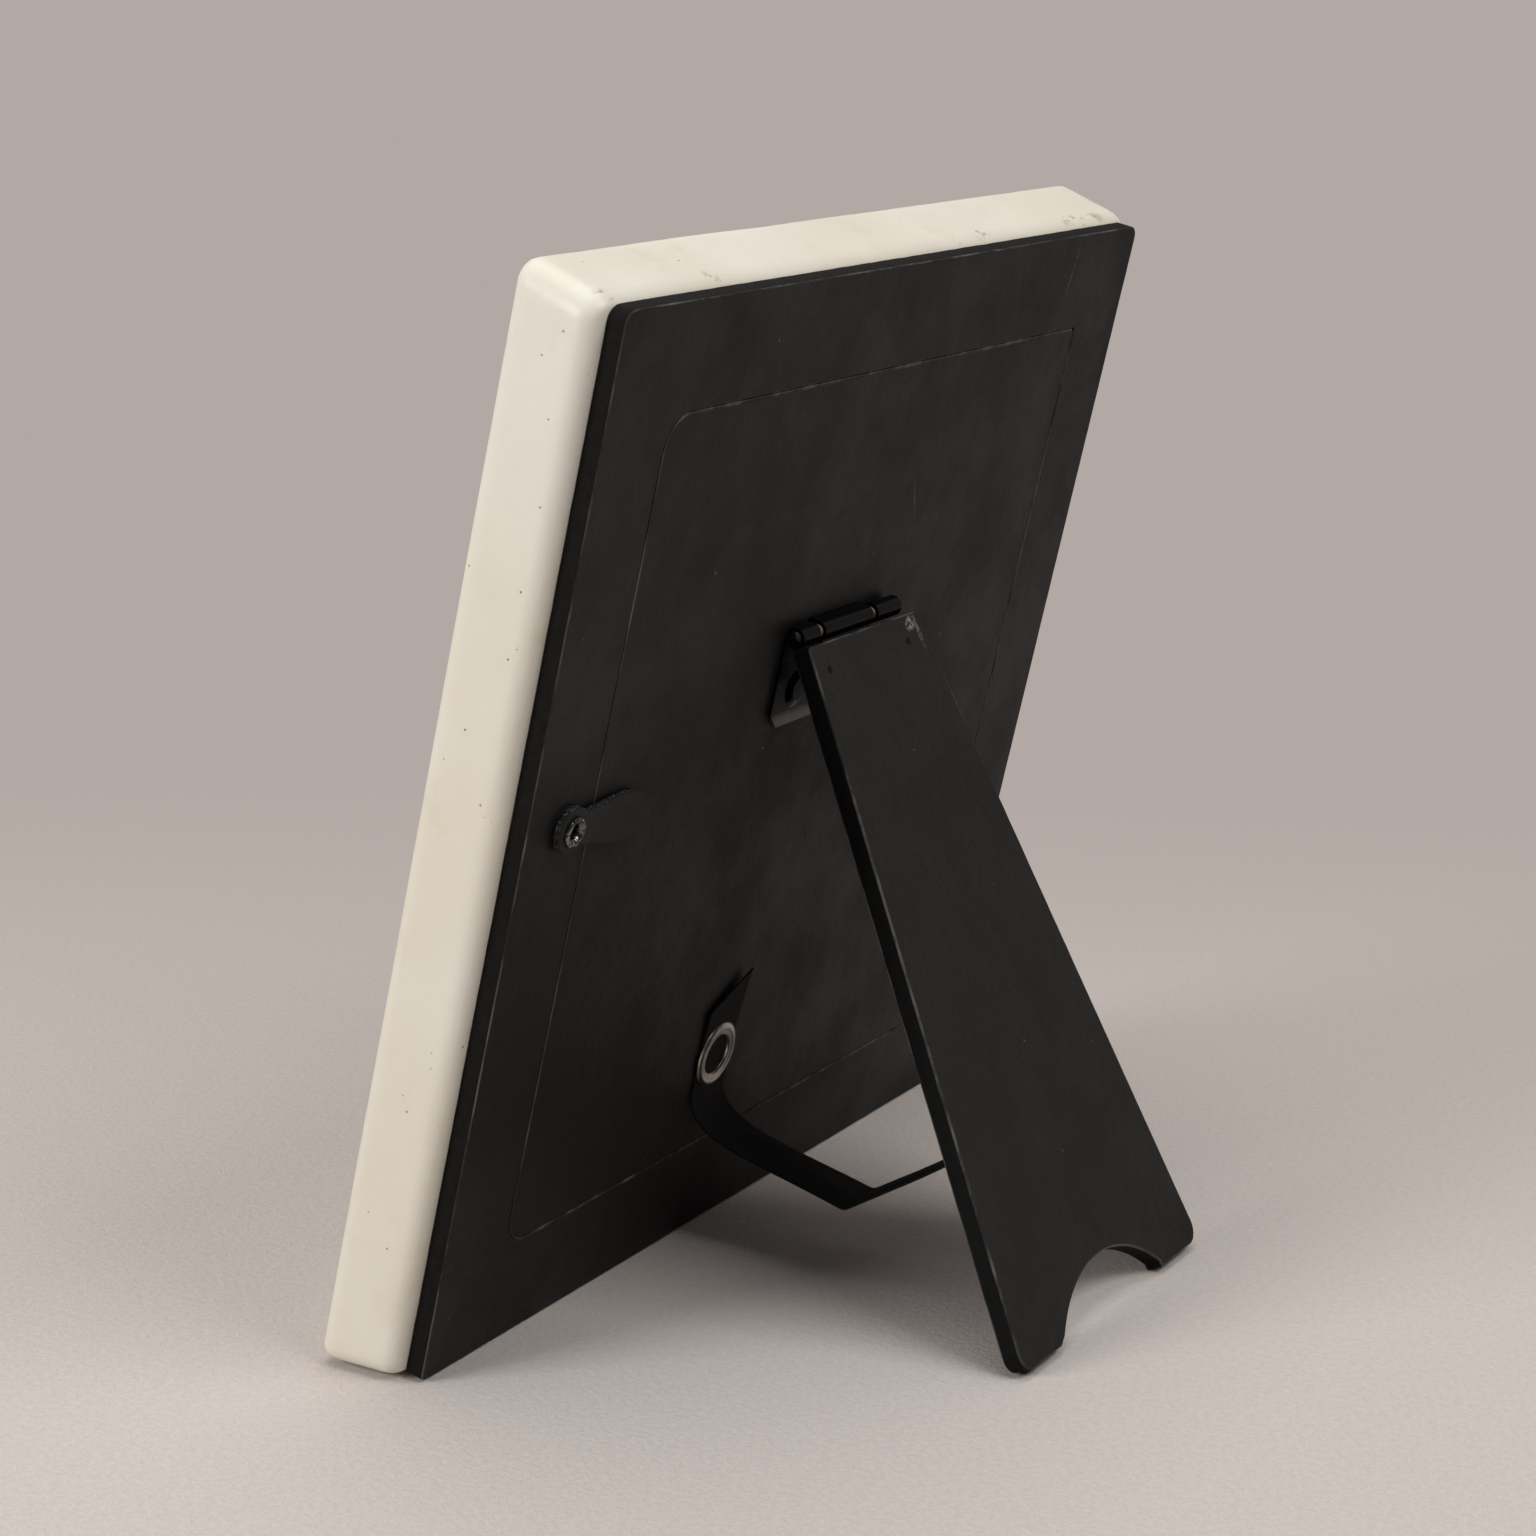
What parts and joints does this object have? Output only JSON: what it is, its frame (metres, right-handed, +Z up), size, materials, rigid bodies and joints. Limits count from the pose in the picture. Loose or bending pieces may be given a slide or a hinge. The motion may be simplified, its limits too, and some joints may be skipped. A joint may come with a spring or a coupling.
{
  "type": "tabletop picture frame",
  "caption": "Cream tabletop picture frame with a black back board, a hatch held by a turn button and a folding easel leg.",
  "frame": {"origin": "on the table, under the middle of the frame's outer box, with the leg open", "axes": "+X to the right seen from the front, the picture faces -Y and leans back, the leg is towards +Y, +Z up"},
  "size_m": [0.1656, 0.0902, 0.1634],
  "materials": {
    "body": "cream lacquer, satin, with small pinholes and brown rubs along the edges",
    "glass": "clear picture glass",
    "print": "satin print of a plain made-up landscape",
    "card": "raw grey-brown card",
    "board": "dark fibreboard with rough cut edges",
    "cover": "matt black paper with a fine grain, dust and light scratches",
    "leg": "black paper-faced board, worn grey along the edges",
    "button": "black vulcanised fibre with a rough cut edge",
    "black_steel": "gloss black stove enamel",
    "steel": "plain steel",
    "nickel": "dull nickel plate",
    "ribbon": "black grosgrain ribbon"
  },
  "bodies": {
    "frame": {"frame_body": "body", "glass_pane": "glass", "picture_print": "print", "backing_card": "card", "retaining_tabs": "steel", "back_board": "board", "hatch_panel": "board", "cover_paper": "cover", "button_rivet": "nickel", "button_washer": "button", "hinge_base": "black_steel", "base_rivets": "black_steel", "base_rivet_burrs": "steel", "hinge_pin": "steel", "ribbon_stay": "ribbon", "ribbon_eyelet": "nickel", "eyelet_washer": "nickel"},
    "leg": {"easel_leg": "leg", "hinge_leaf": "black_steel", "leg_brads": "steel"},
    "button": {"turn_button": "button"}
  },
  "joints": [
    {"name": "leg_hinge", "type": "hinge", "parent": "frame", "child": "leg", "pos_m": [0, -0.00553, 0.10178], "axis": [1, 0, 0], "range_deg": [-32, 0], "deforming": ["ribbon_stay"]},
    {"name": "button_turn", "type": "hinge", "parent": "frame", "child": "button", "pos_m": [0.0702, -0.01077, 0.08346], "axis": [0, 0.9796, -0.2011], "continuous": true}
  ]
}
